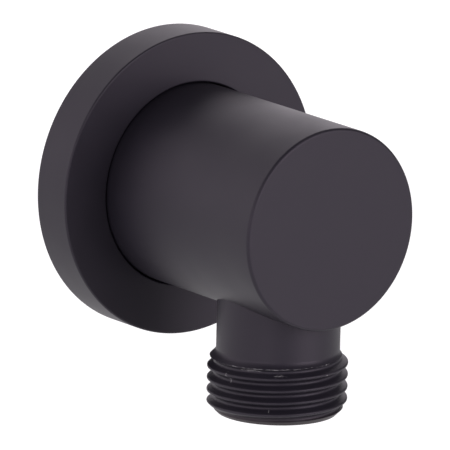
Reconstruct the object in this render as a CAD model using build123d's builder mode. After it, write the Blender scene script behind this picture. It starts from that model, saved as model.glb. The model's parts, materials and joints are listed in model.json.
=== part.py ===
from build123d import *
import os
from math import radians, tan

# Round wall outlet elbow for a shower hose, in millimetres.
# The origin is where the inlet axis meets the wall. +Y goes into the wall, the barrel stands out
# along -Y and the outlet points down along -Z.

# Barrel
barrel_diameter = 30.5
projection = 42.0  # wall to the closed end
wall_setback = 0.5  # the inlet end stops this far short of the wall
end_edge_radius = 0.36
tail_chamfer = 0.6  # leads the flange's seal on to the barrel

# G 1/2 pipe thread, the same for the inlet hole and the outlet stub
thread_major_diameter = 20.955
thread_minor_diameter = 18.631

# Outlet stub
outlet_reach = 29.8  # wall to the outlet axis
outlet_drop = 30.0  # inlet axis to the end of the stub
neck_diameter = 18.4
thread_span = 9.4  # top of the thread's shoulder to the end of the stub
shoulder_height = 1.45
nose_chamfer = 1.5

# Waterway
inlet_thread_depth = 15.0
inlet_mouth_chamfer = 1.2
inlet_passage_diameter = 13.0
inlet_passage_overrun = 3.0  # full bore past the outlet axis
outlet_bore_diameter = 12.5
outlet_mouth_chamfer = 0.4
drill_point_angle = 118.0

# Cover flange
flange_diameter = 46.0
flange_thickness = 7.0
flange_edge_radius = 0.6
flange_gap = 0.2  # radial, between the barrel and the flange's bore
bore_edge_chamfer = 0.25
rim_width = 3.0  # the part of the back that touches the wall
back_relief = 0.8

# Sealing ring, in the form that it takes when squeezed into its groove
seal_height = 2.0
seal_width = 2.4
seal_flat = 1.3  # width of the flats where the ring is pressed
seal_running_clearance = 0.05  # radial, between the ring and the barrel
groove_side_clearance = 0.15

# Radii and places that follow
barrel_radius = barrel_diameter / 2
neck_radius = neck_diameter / 2
thread_major_radius = thread_major_diameter / 2
thread_minor_radius = thread_minor_diameter / 2
inlet_passage_radius = inlet_passage_diameter / 2
outlet_bore_radius = outlet_bore_diameter / 2
flange_radius = flange_diameter / 2
flange_bore_radius = barrel_radius + flange_gap
seal_inner_radius = barrel_radius + seal_running_clearance
seal_middle_radius = seal_inner_radius + seal_height / 2
groove_floor_radius = seal_inner_radius + seal_height
groove_width = seal_width + 2 * groove_side_clearance
groove_middle = (back_relief + flange_thickness) / 2  # wall to the middle of the seal groove

inlet_end = wall_setback + inlet_thread_depth
passage_end = outlet_reach + inlet_passage_overrun
shoulder_top = outlet_drop - thread_span
thread_top = shoulder_top + shoulder_height
thread_bottom = outlet_drop - nose_chamfer

outlet_plane = Plane.XZ.offset(outlet_reach)
outlet_axis = Axis((0, -outlet_reach, 0), (0, 0, 1))


def drill_point(radius):
    """Length of the cone that a drill's point leaves at the end of a hole."""
    return radius / tan(radians(drill_point_angle / 2))


# Elbow body, one piece of brass
with BuildPart() as elbow_body:
    # barrel, with its closed end towards the room
    with BuildSketch(Plane.XZ.offset(wall_setback)):
        Circle(barrel_radius)
    extrude(amount=projection - wall_setback)
    barrel_rims = elbow_body.edges().filter_by(GeomType.CIRCLE).sort_by(Axis.Y)
    fillet(barrel_rims[0], radius=end_edge_radius)
    chamfer(barrel_rims[-1], length=tail_chamfer)

    # outlet stub: neck, shoulder, thread at its full diameter and chamfered nose
    with BuildSketch(outlet_plane):
        with BuildLine():
            Polyline(
                (0, 0),
                (neck_radius, 0),
                (neck_radius, -shoulder_top),
                (thread_major_radius, -thread_top),
                (thread_major_radius, -thread_bottom),
                (thread_major_radius - nose_chamfer, -outlet_drop),
                (0, -outlet_drop),
                close=True,
            )
        make_face()
    revolve(axis=outlet_axis)

    # inlet: countersunk mouth, flat-ended thread hole at its minor diameter, then the drilled passage
    with BuildSketch(Plane.XY):
        with BuildLine():
            Polyline(
                (0, -wall_setback),
                (thread_minor_radius + inlet_mouth_chamfer, -wall_setback),
                (thread_minor_radius, -wall_setback - inlet_mouth_chamfer),
                (thread_minor_radius, -inlet_end),
                (inlet_passage_radius, -inlet_end),
                (inlet_passage_radius, -passage_end),
                (0, -passage_end - drill_point(inlet_passage_radius)),
                close=True,
            )
        make_face()
    revolve(axis=Axis.Y, mode=Mode.SUBTRACT)

    # outlet bore, drilled up from the stub's end into the passage
    with BuildSketch(outlet_plane):
        with BuildLine():
            Polyline(
                (0, -outlet_drop),
                (outlet_bore_radius + outlet_mouth_chamfer, -outlet_drop),
                (outlet_bore_radius, -outlet_drop + outlet_mouth_chamfer),
                (outlet_bore_radius, 0),
                (0, drill_point(outlet_bore_radius)),
                close=True,
            )
        make_face()
    revolve(axis=outlet_axis, mode=Mode.SUBTRACT)

# Cover flange: a turned ring that slips over the barrel and hides the wall joint
with BuildPart() as wall_flange:
    with BuildSketch(Plane.XY):
        # the back is relieved, so that only its rim touches the wall
        with BuildLine():
            Polyline(
                (flange_bore_radius, -back_relief),
                (flange_radius - rim_width, -back_relief),
                (flange_radius - rim_width, 0),
                (flange_radius, 0),
                (flange_radius, -flange_thickness),
                (flange_bore_radius, -flange_thickness),
                close=True,
            )
        make_face()
        # groove for the sealing ring
        with Locations((flange_bore_radius, -groove_middle)):
            Rectangle(
                groove_floor_radius - flange_bore_radius,
                groove_width,
                align=(Align.MIN, Align.CENTER),
                mode=Mode.SUBTRACT,
            )
    revolve(axis=Axis.Y)
    front_edges = wall_flange.edges().group_by(Axis.Y)[0].sort_by(SortBy.RADIUS)
    fillet(front_edges[-1], radius=flange_edge_radius)
    chamfer(front_edges[0], length=bore_edge_chamfer)

# Sealing ring, seated on the floor of the flange's groove
with BuildPart() as flange_o_ring:
    with BuildSketch(Plane.XY):
        with BuildLine():
            Polyline(
                (seal_inner_radius, -groove_middle + seal_flat / 2),
                (seal_middle_radius, -groove_middle + seal_width / 2),
                (groove_floor_radius, -groove_middle + seal_flat / 2),
                (groove_floor_radius, -groove_middle - seal_flat / 2),
                (seal_middle_radius, -groove_middle - seal_width / 2),
                (seal_inner_radius, -groove_middle - seal_flat / 2),
                close=True,
            )
        make_face()
    revolve(axis=Axis.Y)

elbow_body.part.label = "elbow_body"
wall_flange.part.label = "wall_flange"
flange_o_ring.part.label = "flange_o_ring"

os.makedirs("parts", exist_ok=True)
export_step(elbow_body.part, "parts/elbow_body.step")
export_step(wall_flange.part, "parts/wall_flange.step")
export_step(flange_o_ring.part, "parts/flange_o_ring.step")
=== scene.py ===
import json
from math import cos, pi, radians, sin, tan

import bmesh
import bpy
import numpy as np
from mathutils import Matrix, Vector


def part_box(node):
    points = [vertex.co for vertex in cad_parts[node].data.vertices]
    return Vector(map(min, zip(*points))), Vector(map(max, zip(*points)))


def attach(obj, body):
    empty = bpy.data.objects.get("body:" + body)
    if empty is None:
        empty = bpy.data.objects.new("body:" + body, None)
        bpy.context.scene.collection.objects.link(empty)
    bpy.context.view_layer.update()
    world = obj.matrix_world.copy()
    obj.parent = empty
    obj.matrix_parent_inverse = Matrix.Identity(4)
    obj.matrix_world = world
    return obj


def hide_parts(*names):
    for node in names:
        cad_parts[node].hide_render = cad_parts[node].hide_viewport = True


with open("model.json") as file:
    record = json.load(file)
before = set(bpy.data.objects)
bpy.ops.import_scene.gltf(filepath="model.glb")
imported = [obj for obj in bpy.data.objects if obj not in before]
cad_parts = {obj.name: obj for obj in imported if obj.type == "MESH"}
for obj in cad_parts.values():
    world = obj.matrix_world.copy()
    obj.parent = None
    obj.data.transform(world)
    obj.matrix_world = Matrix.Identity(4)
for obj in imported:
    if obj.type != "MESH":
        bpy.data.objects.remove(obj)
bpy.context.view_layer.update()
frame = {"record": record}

# Looks of a round wall outlet elbow, in metres, in the frame of the solids: the barrel lies along Y
# with the wall at y = 0, and the outlet stub points down along -Z.

MM = 0.001
body_low, body_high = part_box("elbow_body")
flange_low, flange_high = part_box("wall_flange")
ring_low, ring_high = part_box("flange_o_ring")
mounts = {mount["name"]: mount for mount in frame["record"]["mounts"]}

# Barrel
barrel_radius = body_high.x
barrel_start = body_high.y
barrel_end = body_low.y
end_edge_radius = 0.5 * MM
tail_chamfer = 0.6 * MM

# G 1/2 thread, right-handed
thread_major_radius = mounts["outlet_thread"]["dims"]["r_mm"] * MM
thread_minor_radius = mounts["inlet_thread"]["dims"]["r_mm"] * MM
thread_pitch = 1.814 * MM
thread_half_angle = radians(27.5)
crest_round = 0.137 * thread_pitch
root_round = 0.2 * thread_pitch  # the coat fills the roots a little
runout_blend = 0.06 * MM  # rounding where a thread runs out

# Outlet stub
outlet_y = mounts["outlet_thread"]["pos_m"][1]
outlet_end = body_low.z
thread_middle = mounts["outlet_thread"]["pos_m"][2]
thread_length = mounts["outlet_thread"]["dims"]["length_mm"] * MM
thread_top = thread_middle + thread_length / 2
crest_height = -22.1 * MM  # height of a crest on the +X side
nose_chamfer = 1.5 * MM
shoulder_height = 1.3 * MM
shoulder_top = thread_top + shoulder_height
neck_radius = 9.2 * MM
neck_blend = 0.4 * MM  # rounding where the neck meets the shoulder
neck_start = shoulder_top + 0.6 * MM  # the neck is plain from here up
stub_root = -0.6 * barrel_radius  # the stub's upper end, inside the barrel

# Waterway
inlet_thread_depth = 15.0 * MM
inlet_thread_end = barrel_start - inlet_thread_depth
inlet_mouth_chamfer = 1.2 * MM
passage_radius = 6.5 * MM
passage_overrun = 3.0 * MM  # full bore past the outlet axis
passage_end = outlet_y - passage_overrun
outlet_bore_radius = 6.25 * MM
outlet_mouth_chamfer = 0.4 * MM
drill_point_angle = radians(118)

# Cover flange and its sealing ring
flange_radius = flange_high.x
flange_front = flange_low.y
flange_edge_radius = 0.28 * MM
flange_gap = 0.2 * MM  # radial, between the barrel and the flange's bore
flange_bore_radius = barrel_radius + flange_gap
bore_edge_radius = 0.25 * MM
rim_width = 3.0 * MM  # the part of the back that touches the wall
back_relief = 0.8 * MM
groove_side_clearance = 0.15 * MM
seal_gap = 0.002 * MM  # radial: the ring all but touches the barrel
seal_inner_radius = barrel_radius + seal_gap
seal_outer_radius = ring_high.x
seal_power = 2.8  # roundness of the squeezed section: 2 is an ellipse, more is squarer

# Fineness of the meshes
turn_steps = 240
arc_steps = 8
seal_steps = 32  # round the ring's section
barrel_rings = 24  # along the barrel
neck_rings = 8  # along the neck
thread_columns = 216
thread_rows = 26  # per turn
hole_columns = 144
hole_rows = 16  # per turn
sharp_angle = radians(35)
cut_overrun = 0.5 * MM  # cutters stand this far out of the faces that they cut
weld_distance = 0.0002 * MM  # points this close together become one

# Finishes: colour and roughness wander between two values in clouds, and a fine grain stands out in
# relief. The sizes of clouds and grain and the height of the relief are in millimetres.
finishes = {
    "black_coat": {
        "colours": ((0.0106, 0.0093, 0.0142), (0.0120, 0.0105, 0.0160)), "roughness": (0.48, 0.52),
        "cloud_size": 6.0, "cloud_detail": 2.0, "grain_size": 0.3, "relief": 0.004,
    },
    "bare_brass": {
        "colours": ((0.50, 0.35, 0.14), (0.66, 0.50, 0.24)), "roughness": (0.30, 0.45),
        "cloud_size": 3.0, "cloud_detail": 4.0, "grain_size": 0.08, "relief": 0.006,
    },
    "seal_rubber": {
        "colours": ((0.014, 0.014, 0.014), (0.022, 0.022, 0.022)), "roughness": (0.6, 0.75),
        "cloud_size": 2.0, "cloud_detail": 2.0, "grain_size": 0.1, "relief": 0.01,
    },
}
grain_detail = 2.0
relief_strength = 0.3
noise_range = (0.3, 0.7)  # most values of a noise lie between these
noise_middle = 0.5
coat_ior = 1.41
coat_gloss_tint = (0.97, 0.88, 0.99)

# Wear of the coat on the stub, in millimetres and degrees. A mark's place is its distance round the stub
# from the front and its height. Its length and width reach from its middle, where it is deepest.
thread_marks = {
    "burr": {"along": -9.4, "height": -21.45, "length": 30.0, "width": 0.30, "tilt": 1.1, "depth": 0.57},
    "flakes": {"along": -11.4, "height": -21.80, "length": 5.0, "width": 0.60, "tilt": 2.0, "depth": 0.60},
    "smear": {"along": -6.4, "height": -22.28, "length": 3.6, "width": 0.46, "tilt": 1.6, "depth": 0.54},
    "long nick": {"along": -15.2, "height": -23.50, "length": 1.6, "width": 0.2, "tilt": -80, "depth": 0.95},
    "short nick": {"along": -8.0, "height": -27.70, "length": 0.45, "width": 0.12, "tilt": 90, "depth": 0.8},
    "upper speck": {"along": 2.1, "height": -21.27, "length": 0.26, "width": 0.2, "tilt": 0, "depth": 1.2},
    "lower speck": {"along": 1.4, "height": -22.60, "length": 0.24, "width": 0.2, "tilt": 0, "depth": 1.1},
}
ragged_size = 0.25 * MM  # spots that make the marks ragged
ragged_detail = 3.0
ragged_stretch = (0.3, 1.6, 1)  # the spots are drawn out round the stub
worn_depths = (0.42, 0.6)  # where the coat begins to go and where it is gone
worn_colour = (0.22, 0.215, 0.22)
thin_colour = (0.017, 0.0115, 0.0100)  # where the brass shows through at the nose
thin_height = 1.3 * MM

# Camera
camera_azimuth = radians(-36.781)
camera_elevation = radians(13.369)
camera_roll = radians(1.446)
camera_target = Vector((2.685, -12.327, -5.634)) * MM
camera_distance = 1.520
camera_sensor = 36.0
camera_lens = 814.2
camera_near = 0.01
camera_far = 20.0

# Studio. Softboxes are placed by their azimuth from the camera's, in degrees, and their level is a
# radiance.
white = (1, 1, 1, 1)
floor_height = -0.12
floor_size = 6.0
floor_colour = (0.5, 0.5, 0.5, 1)
floor_roughness = 0.9
floor_glow = 0.68  # what the floor lacks to be white in the studio's light
world_level = 0.2
softbox_distance = 1.1
softbox_colour = (1.0, 0.93, 1.0)
softboxes = {
    "softbox_right": {"azimuth": 55, "elevation": 12, "width": 0.8, "height": 0.8, "level": 4.3},
    "softbox_front": {"azimuth": -20, "elevation": 10, "width": 0.25, "height": 0.45, "level": 7.0},
    "softbox_left": {"azimuth": -55, "elevation": 12, "width": 0.7, "height": 0.6, "level": 1.6},
    "softbox_side": {"azimuth": -98, "elevation": 23, "width": 1.2, "height": 1.0, "level": 1.35},
    "softbox_back": {"azimuth": -172, "elevation": 23, "width": 1.2, "height": 0.95, "level": 1.55},
}


def arc(centre, radius, start, end, steps=arc_steps):
    """Points of an arc in a section, from one angle to another."""
    angles = [start + (end - start) * step / steps for step in range(steps + 1)]
    return [(centre[0] + radius * cos(a), centre[1] + radius * sin(a)) for a in angles]


def about_barrel(radius, along, angle):
    """A point round the barrel's axis."""
    return (radius * cos(angle), along, radius * sin(angle))


def about_outlet(radius, along, angle):
    """A point round the outlet's axis."""
    return (radius * cos(angle), outlet_y + radius * sin(angle), along)


def drill_point(radius):
    """Length of the cone that a drill's point leaves at the end of a hole."""
    return radius / tan(drill_point_angle / 2)


def add_piece(name, bm):
    """A new object from a bmesh."""
    mesh = bpy.data.meshes.new(name)
    bm.to_mesh(mesh)
    bm.free()
    piece = bpy.data.objects.new(name, mesh)
    bpy.context.scene.collection.objects.link(piece)
    return piece


def ring(bm, radius, along, place, steps):
    """Points round an axis. At radius 0 they are one point on the axis."""
    if radius == 0:
        return [bm.verts.new(place(0, along, 0))] * steps
    return [bm.verts.new(place(radius, along, 2 * pi * k / steps)) for k in range(steps)]


def bridge(bm, first, second):
    """Faces between two rings of points."""
    steps = len(first)
    for k in range(steps):
        n = (k + 1) % steps
        corners = [first[k], first[n], second[n], second[k]]
        bm.faces.new(list(dict.fromkeys(corners)))


def turned(name, section, place, closed=False, steps=turn_steps):
    """A turned piece from a section of (radius, along) points, where radius 0 is on the axis."""
    bm = bmesh.new()
    rings = [ring(bm, radius, along, place, steps) for radius, along in section]
    if closed:
        rings.append(rings[0])
    for first, second in zip(rings, rings[1:]):
        bridge(bm, first, second)
    bmesh.ops.recalc_face_normals(bm, faces=bm.faces)
    return add_piece(name, bm)


def thread_radius(offset):
    """Radius of the thread at an offset along the axis from the middle of a crest."""
    half = thread_pitch / 2
    from_crest = np.abs((offset + half) % thread_pitch - half)
    from_root = half - from_crest
    pitch_radius = (thread_major_radius + thread_minor_radius) / 2
    flank = pitch_radius + (half / 2 - from_crest) / tan(thread_half_angle)
    point_rise = half / 2 / tan(thread_half_angle)
    crest_centre = pitch_radius + point_rise - crest_round / sin(thread_half_angle)
    root_centre = pitch_radius - point_rise + root_round / sin(thread_half_angle)
    crest = crest_centre + np.sqrt(np.maximum(crest_round**2 - from_crest**2, 0))
    root = root_centre - np.sqrt(np.maximum(root_round**2 - from_root**2, 0))
    on_crest = from_crest < crest_round * cos(thread_half_angle)
    in_root = from_root < root_round * cos(thread_half_angle)
    return np.where(on_crest, crest, np.where(in_root, root, flank))


def smooth_least(a, b, width):
    """The lesser of two values, with the corner between them rounded over a width."""
    mix = np.clip(0.5 + (b - a) / (2 * width), 0, 1)
    return b + (a - b) * mix - width * mix * (1 - mix)


def helical(name, radius_at, low, high, place, columns, rows, before, after):
    """A closed piece whose skin follows a right-handed helix between two heights. The sections before
    and after go on from its low and its high end to the axis."""
    bm = bmesh.new()
    angles = 2 * pi * np.arange(columns) / columns
    starts = np.arange(low - thread_pitch, high + thread_pitch / rows, thread_pitch / rows)
    heights = np.clip(starts[None, :] + thread_pitch * angles[:, None] / (2 * pi), low, high)
    radii = radius_at(heights, angles[:, None])
    skin = []
    for column, angle in enumerate(angles):
        points = zip(radii[column], heights[column])
        skin.append([bm.verts.new(place(radius, height, angle)) for radius, height in points])
    count = len(starts)
    for column in range(columns):
        wraps = column == columns - 1
        near = skin[column]
        far = skin[0] if wraps else skin[column + 1]
        shift = rows if wraps else 0
        for row in range(count - 1 - shift):
            bm.faces.new([near[row], far[row + shift], far[row + shift + 1], near[row + 1]])
    for edge_row, section in ((0, before), (count - 1, after)):
        last = [skin[column][edge_row] for column in range(columns)]
        for radius, height in section:
            points = ring(bm, radius, height, place, columns)
            bridge(bm, last, points)
            last = points
    bmesh.ops.remove_doubles(bm, verts=bm.verts, dist=weld_distance)
    bmesh.ops.recalc_face_normals(bm, faces=bm.faces)
    return add_piece(name, bm)


def combine(piece, other, operation):
    """Joins another piece to a piece, or cuts it out of it."""
    modifier = piece.modifiers.new("combine", "BOOLEAN")
    modifier.object = other
    modifier.operation = operation
    modifier.solver = "MANIFOLD"
    modifier.material_mode = "TRANSFER"
    bpy.context.view_layer.update()
    depsgraph = bpy.context.evaluated_depsgraph_get()
    made = bpy.data.meshes.new_from_object(piece.evaluated_get(depsgraph))
    made.name = piece.name
    piece.modifiers.clear()
    piece.data = made
    bpy.data.objects.remove(other)


def shade(piece):
    """Smooth shading that keeps the edges crisp and the flat faces flat."""
    bm = bmesh.new()
    bm.from_mesh(piece.data)
    bmesh.ops.dissolve_degenerate(bm, dist=weld_distance, edges=bm.edges)
    for face in bm.faces:
        face.smooth = True
    for edge in bm.edges:
        edge.smooth = edge.calc_face_angle(0.0) < sharp_angle
    bm.to_mesh(piece.data)
    bm.free()
    weighted = piece.modifiers.new("flat faces", "WEIGHTED_NORMAL")
    weighted.keep_sharp = True


def make_barrel():
    """The closed round barrel, before the waterway is drilled."""
    fillet_centre = (barrel_radius - end_edge_radius, barrel_end + end_edge_radius)
    first = barrel_start - tail_chamfer
    length = barrel_end - barrel_start
    rings = [first + length * step / barrel_rings for step in range(barrel_rings - 1)]
    section = [(0, barrel_start), (barrel_radius - tail_chamfer, barrel_start)]
    section += [(barrel_radius, along) for along in rings]
    section += arc(fillet_centre, end_edge_radius, 0, -pi / 2)
    section += [(0, barrel_end)]
    return turned("elbow_body_skin", section, about_barrel)


def stub_radius(height, angle):
    """Radius of the outlet stub: the neck, the shoulder, the thread and the chamfered nose."""
    shoulder_slope = (thread_major_radius - neck_radius) / shoulder_height
    shoulder = neck_radius + (shoulder_top - height) * shoulder_slope
    rounded_shoulder = -smooth_least(-shoulder, -neck_radius, neck_blend)
    nose = thread_major_radius - nose_chamfer + (height - outlet_end)
    blank = np.minimum(np.minimum(rounded_shoulder, thread_major_radius), nose)
    offset = height - crest_height - thread_pitch * angle / (2 * pi)
    return smooth_least(thread_radius(offset), blank, runout_blend)


def make_stub():
    """The outlet stub with its male thread, solid until the waterway is drilled."""
    length = stub_root - neck_start
    rings = [neck_start + length * step / neck_rings for step in range(1, neck_rings + 1)]
    after = [(neck_radius, height) for height in rings] + [(0, stub_root)]
    before = [(0, outlet_end)]
    return helical(
        "stub", stub_radius, outlet_end, neck_start, about_outlet, thread_columns, thread_rows, before, after
    )


def inlet_radius(along, angle):
    """Radius of the inlet hole: the countersunk mouth and the female thread, which runs out inside."""
    mouth = barrel_start - along
    countersink = thread_minor_radius + inlet_mouth_chamfer - mouth
    offset = along + thread_pitch * angle / (2 * pi)
    runout = thread_minor_radius + np.maximum(along - inlet_thread_end - thread_pitch, 0)
    cut = smooth_least(thread_radius(offset), runout, runout_blend)
    return np.maximum(np.maximum(cut, thread_minor_radius), countersink)


def make_inlet_hole():
    """The threaded inlet hole and the drilled passage behind it, as a cutter."""
    mouth_radius = thread_minor_radius + inlet_mouth_chamfer + cut_overrun
    tip = passage_end - drill_point(passage_radius)
    before = [(passage_radius, inlet_thread_end), (passage_radius, passage_end), (0, tip)]
    after = [(mouth_radius, barrel_start + cut_overrun), (0, barrel_start + cut_overrun)]
    return helical(
        "inlet_hole", inlet_radius, inlet_thread_end, barrel_start, about_barrel, hole_columns, hole_rows,
        before, after,
    )


def make_outlet_hole():
    """The outlet bore with its chamfered mouth and drilled end, as a cutter."""
    mouth_radius = outlet_bore_radius + outlet_mouth_chamfer
    section = [
        (0, outlet_end - cut_overrun),
        (mouth_radius + cut_overrun, outlet_end - cut_overrun),
        (outlet_bore_radius, outlet_end + outlet_mouth_chamfer),
        (outlet_bore_radius, 0),
        (0, drill_point(outlet_bore_radius)),
    ]
    return turned("outlet_hole", section, about_outlet, steps=hole_columns)


def make_body(coat, bare):
    """The elbow body: barrel and stub in one, drilled from both ends."""
    barrel = make_barrel()
    stub = make_stub()
    inlet_hole = make_inlet_hole()
    outlet_hole = make_outlet_hole()
    for piece, material in ((barrel, coat), (stub, coat), (inlet_hole, bare), (outlet_hole, bare)):
        piece.data.materials.append(material)
    combine(barrel, stub, "UNION")
    combine(barrel, inlet_hole, "DIFFERENCE")
    combine(barrel, outlet_hole, "DIFFERENCE")
    shade(barrel)
    return barrel


def make_flange(coat):
    """The cover flange: a turned ring with a relieved back and a groove for its seal."""
    front_edge = (flange_radius - flange_edge_radius, flange_front + flange_edge_radius)
    bore_edge = (flange_bore_radius + bore_edge_radius, flange_front + bore_edge_radius)
    groove_low = ring_low.y - groove_side_clearance
    groove_high = ring_high.y + groove_side_clearance
    section = [
        (flange_bore_radius, -back_relief),
        (flange_radius - rim_width, -back_relief),
        (flange_radius - rim_width, 0),
        (flange_radius, 0),
    ]
    section += arc(front_edge, flange_edge_radius, 0, -pi / 2)
    section += arc(bore_edge, bore_edge_radius, -pi / 2, -pi)
    section += [
        (flange_bore_radius, groove_low),
        (seal_outer_radius, groove_low),
        (seal_outer_radius, groove_high),
        (flange_bore_radius, groove_high),
    ]
    flange = turned("wall_flange_skin", section, about_barrel, closed=True)
    flange.data.materials.append(coat)
    shade(flange)
    return flange


def make_seal(rubber):
    """The sealing ring, squeezed between the groove's floor and the barrel."""
    middle = ((seal_inner_radius + seal_outer_radius) / 2, (ring_low.y + ring_high.y) / 2)
    half_height = (seal_outer_radius - seal_inner_radius) / 2
    half_width = (ring_high.y - ring_low.y) / 2
    section = []
    for across, along in arc((0, 0), 1, 0, 2 * pi, seal_steps)[:-1]:
        across = np.sign(across) * abs(across) ** (2 / seal_power)
        along = np.sign(along) * abs(along) ** (2 / seal_power)
        section.append((middle[0] + half_height * across, middle[1] + half_width * along))
    seal = turned("flange_o_ring_skin", section, about_barrel, closed=True)
    seal.data.materials.append(rubber)
    shade(seal)
    return seal


def new_material(name):
    """A node material, with its tree and its main shader."""
    material = bpy.data.materials.new(name)
    material.use_nodes = True
    tree = material.node_tree
    return material, tree, tree.nodes["Principled BSDF"]


def object_coordinates(tree):
    """Coordinates that stay with the piece."""
    return tree.nodes.new("ShaderNodeTexCoord").outputs["Object"]


def noise_texture(tree, coordinates, size, detail):
    """A noise texture whose spots have about the given size."""
    node = tree.nodes.new("ShaderNodeTexNoise")
    node.inputs["Scale"].default_value = 1 / size
    node.inputs["Detail"].default_value = detail
    tree.links.new(coordinates, node.inputs["Vector"])
    return node.outputs["Fac"]


def spread(tree, value, low, high, limits=noise_range):
    """A value within limits, stretched to lie between low and high."""
    node = tree.nodes.new("ShaderNodeMapRange")
    node.inputs["From Min"].default_value = limits[0]
    node.inputs["From Max"].default_value = limits[1]
    node.inputs["To Min"].default_value = low
    node.inputs["To Max"].default_value = high
    tree.links.new(value, node.inputs["Value"])
    return node.outputs["Result"]


def colour_ramp(tree, value, first, second, limits=noise_range):
    """A colour that goes from one to another as a value grows."""
    node = tree.nodes.new("ShaderNodeValToRGB")
    low, high = node.color_ramp.elements
    low.position, high.position = limits
    low.color = (*first, 1)
    high.color = (*second, 1)
    tree.links.new(value, node.inputs["Fac"])
    return node.outputs["Color"]


def bump(tree, height, strength, distance):
    """A bump normal from a height."""
    node = tree.nodes.new("ShaderNodeBump")
    node.inputs["Strength"].default_value = strength
    node.inputs["Distance"].default_value = distance
    tree.links.new(height, node.inputs["Height"])
    return node.outputs["Normal"]


def calculate(tree, operation, *values):
    """The result of a calculation with sockets and numbers."""
    node = tree.nodes.new("ShaderNodeMath")
    node.operation = operation
    for socket, value in zip(node.inputs, values):
        if isinstance(value, float):
            socket.default_value = value
        else:
            tree.links.new(value, socket)
    return node.outputs["Value"]


def blend_colour(tree, factor, first, second):
    """A colour that goes from a socket's colour to a fixed one."""
    node = tree.nodes.new("ShaderNodeMix")
    node.data_type = "RGBA"
    inputs = {socket.identifier: socket for socket in node.inputs}
    inputs["B_Color"].default_value = (*second, 1)
    tree.links.new(factor, inputs["Factor_Float"])
    tree.links.new(first, inputs["A_Color"])
    return next(socket for socket in node.outputs if socket.identifier == "Result_Color")


def make_finish(name, colours, roughness, cloud_size, cloud_detail, grain_size, relief):
    """A material with clouds and a fine grain, with its tree and its main shader."""
    material, tree, shader = new_material(name)
    place = object_coordinates(tree)
    cloud = noise_texture(tree, place, cloud_size * MM, cloud_detail)
    grain = noise_texture(tree, place, grain_size * MM, grain_detail)
    tree.links.new(colour_ramp(tree, cloud, *colours), shader.inputs["Base Color"])
    tree.links.new(spread(tree, cloud, *roughness), shader.inputs["Roughness"])
    tree.links.new(bump(tree, grain, relief_strength, relief * MM), shader.inputs["Normal"])
    return material, tree, shader


def mark_depth(tree, plan, along, height, length, width, tilt, depth):
    """How deep a mark is: its depth in the middle, and nothing from its outline on."""
    within = tree.nodes.new("ShaderNodeMapping")
    within.vector_type = "TEXTURE"
    within.inputs["Location"].default_value = (along * MM, height * MM, 0)
    within.inputs["Rotation"].default_value = (0, 0, radians(tilt))
    within.inputs["Scale"].default_value = (length * MM, width * MM, 1)
    tree.links.new(plan, within.inputs["Vector"])
    distance = tree.nodes.new("ShaderNodeVectorMath")
    distance.operation = "LENGTH"
    tree.links.new(within.outputs["Vector"], distance.inputs["Vector"])
    return spread(tree, distance.outputs["Value"], depth, 0, (0, 1))


def stub_wear(tree):
    """How far the coat is worn through on the stub, from 0 to 1, and how thin it is at the nose."""
    axes = tree.nodes.new("ShaderNodeSeparateXYZ")
    tree.links.new(object_coordinates(tree), axes.inputs["Vector"])
    forward = calculate(tree, "SUBTRACT", outlet_y, axes.outputs["Y"])
    angle = calculate(tree, "ARCTAN2", axes.outputs["X"], forward)
    unrolled = tree.nodes.new("ShaderNodeCombineXYZ")
    tree.links.new(calculate(tree, "MULTIPLY", angle, thread_major_radius), unrolled.inputs["X"])
    tree.links.new(axes.outputs["Z"], unrolled.inputs["Y"])
    plan = unrolled.outputs["Vector"]

    worn = 0.0
    for mark in thread_marks.values():
        worn = calculate(tree, "MAXIMUM", worn, mark_depth(tree, plan, **mark))
    streaks = tree.nodes.new("ShaderNodeMapping")
    streaks.inputs["Scale"].default_value = ragged_stretch
    tree.links.new(plan, streaks.inputs["Vector"])
    ragged = noise_texture(tree, streaks.outputs["Vector"], ragged_size, ragged_detail)
    worn = calculate(tree, "ADD", worn, calculate(tree, "SUBTRACT", ragged, noise_middle))
    thin = spread(tree, axes.outputs["Z"], 1, 0, (outlet_end, outlet_end + thin_height))
    return spread(tree, worn, 0, 1, worn_depths), thin


def make_coat():
    """Satin black coat: nearly even, with a faint fine grain, and worn on the stub's thread."""
    material, tree, shader = make_finish("black_coat", **finishes["black_coat"])
    base = shader.inputs["Base Color"]
    worn, thin = stub_wear(tree)
    colour = blend_colour(tree, thin, base.links[0].from_socket, thin_colour)
    tree.links.new(blend_colour(tree, worn, colour, worn_colour), base)
    shader.inputs["IOR"].default_value = coat_ior
    shader.inputs["Specular Tint"].default_value = (*coat_gloss_tint, 1)
    return material


def make_bare_brass():
    """Bare drilled and tapped brass inside the waterway, gone a little dull."""
    material, _, shader = make_finish("bare_brass", **finishes["bare_brass"])
    shader.inputs["Metallic"].default_value = 1.0
    return material


def make_rubber():
    """Moulded black rubber."""
    material, _, _ = make_finish("seal_rubber", **finishes["seal_rubber"])
    return material


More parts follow.
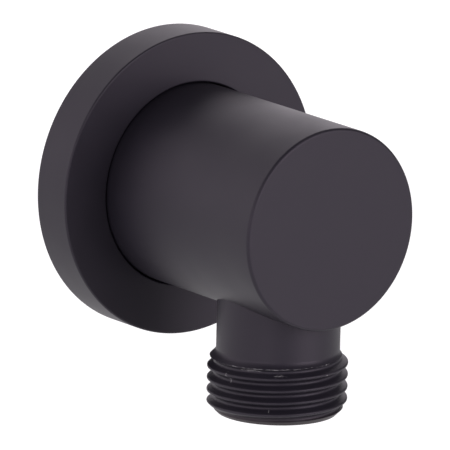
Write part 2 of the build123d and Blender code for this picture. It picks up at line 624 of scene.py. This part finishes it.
def make_floor():
    """A plain white floor that keeps the elbow's shadow. Seen from below it isn't there."""
    bm = bmesh.new()
    bmesh.ops.create_grid(bm, x_segments=1, y_segments=1, size=floor_size / 2)
    floor = add_piece("floor", bm)
    floor.location.z = floor_height

    material, tree, shader = new_material("floor_white")
    shader.inputs["Base Color"].default_value = floor_colour
    shader.inputs["Roughness"].default_value = floor_roughness
    shader.inputs["Emission Color"].default_value = white
    path = tree.nodes.new("ShaderNodeLightPath")
    seen = path.outputs["Is Camera Ray"]
    for kind in ("Is Glossy Ray", "Is Transmission Ray"):
        seen = calculate(tree, "MAXIMUM", seen, path.outputs[kind])
    tree.links.new(calculate(tree, "MULTIPLY", seen, floor_glow), shader.inputs["Emission Strength"])
    side = tree.nodes.new("ShaderNodeNewGeometry")
    below = tree.nodes.new("ShaderNodeBsdfTransparent")
    either_side = tree.nodes.new("ShaderNodeMixShader")
    tree.links.new(side.outputs["Backfacing"], either_side.inputs["Fac"])
    tree.links.new(shader.outputs["BSDF"], either_side.inputs[1])
    tree.links.new(below.outputs["BSDF"], either_side.inputs[2])
    tree.links.new(either_side.outputs["Shader"], tree.nodes["Material Output"].inputs["Surface"])
    floor.data.materials.append(material)


def make_world():
    """Even white light from all round."""
    world = bpy.data.worlds.new("studio")
    bpy.context.scene.world = world
    world.use_nodes = True
    background = world.node_tree.nodes["Background"]
    background.inputs["Color"].default_value = white
    background.inputs["Strength"].default_value = world_level


def make_softbox(name, azimuth, elevation, width, height, level):
    """A large soft lamp that faces the elbow."""
    turn = camera_azimuth + radians(azimuth)
    rise = radians(elevation)
    outwards = Vector((sin(turn) * cos(rise), -cos(turn) * cos(rise), sin(rise)))
    data = bpy.data.lights.new(name, "AREA")
    data.shape = "RECTANGLE"
    data.size = width
    data.size_y = height
    data.color = softbox_colour
    data.energy = level * pi * width * height
    lamp = bpy.data.objects.new(name, data)
    lamp.location = camera_target + outwards * softbox_distance
    lamp.rotation_euler = outwards.to_track_quat("Z", "Y").to_euler()
    lamp.visible_camera = False
    bpy.context.scene.collection.objects.link(lamp)


def make_camera():
    """The camera at the photograph's viewing angle, with a long lens."""
    ca, sa = cos(camera_azimuth), sin(camera_azimuth)
    ce, se = cos(camera_elevation), sin(camera_elevation)
    back = Vector((sa * ce, -ca * ce, se))
    level = Vector((ca, sa, 0))
    upright = back.cross(level)
    right = cos(camera_roll) * level + sin(camera_roll) * upright
    up = back.cross(right)
    data = bpy.data.cameras.new("camera")
    data.sensor_width = camera_sensor
    data.lens = camera_lens
    data.clip_start = camera_near
    data.clip_end = camera_far
    camera = bpy.data.objects.new("camera", data)
    turn = Matrix((right, up, back)).transposed().to_4x4()
    camera.matrix_world = Matrix.Translation(camera_target + back * camera_distance) @ turn
    bpy.context.scene.collection.objects.link(camera)
    bpy.context.scene.camera = camera


coat = make_coat()
body = make_body(coat, make_bare_brass())
flange = make_flange(coat)
seal = make_seal(make_rubber())
for piece, node, carrier, finish in (
    (body, "elbow_body", "elbow", "black_coat"),
    (flange, "wall_flange", "flange", "black_coat"),
    (seal, "flange_o_ring", "flange", "seal_rubber"),
):
    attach(piece, carrier)
    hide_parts(node)

make_floor()
make_world()
for name, box in softboxes.items():
    make_softbox(name, **box)
make_camera()
bpy.context.scene.view_settings.view_transform = "Standard"
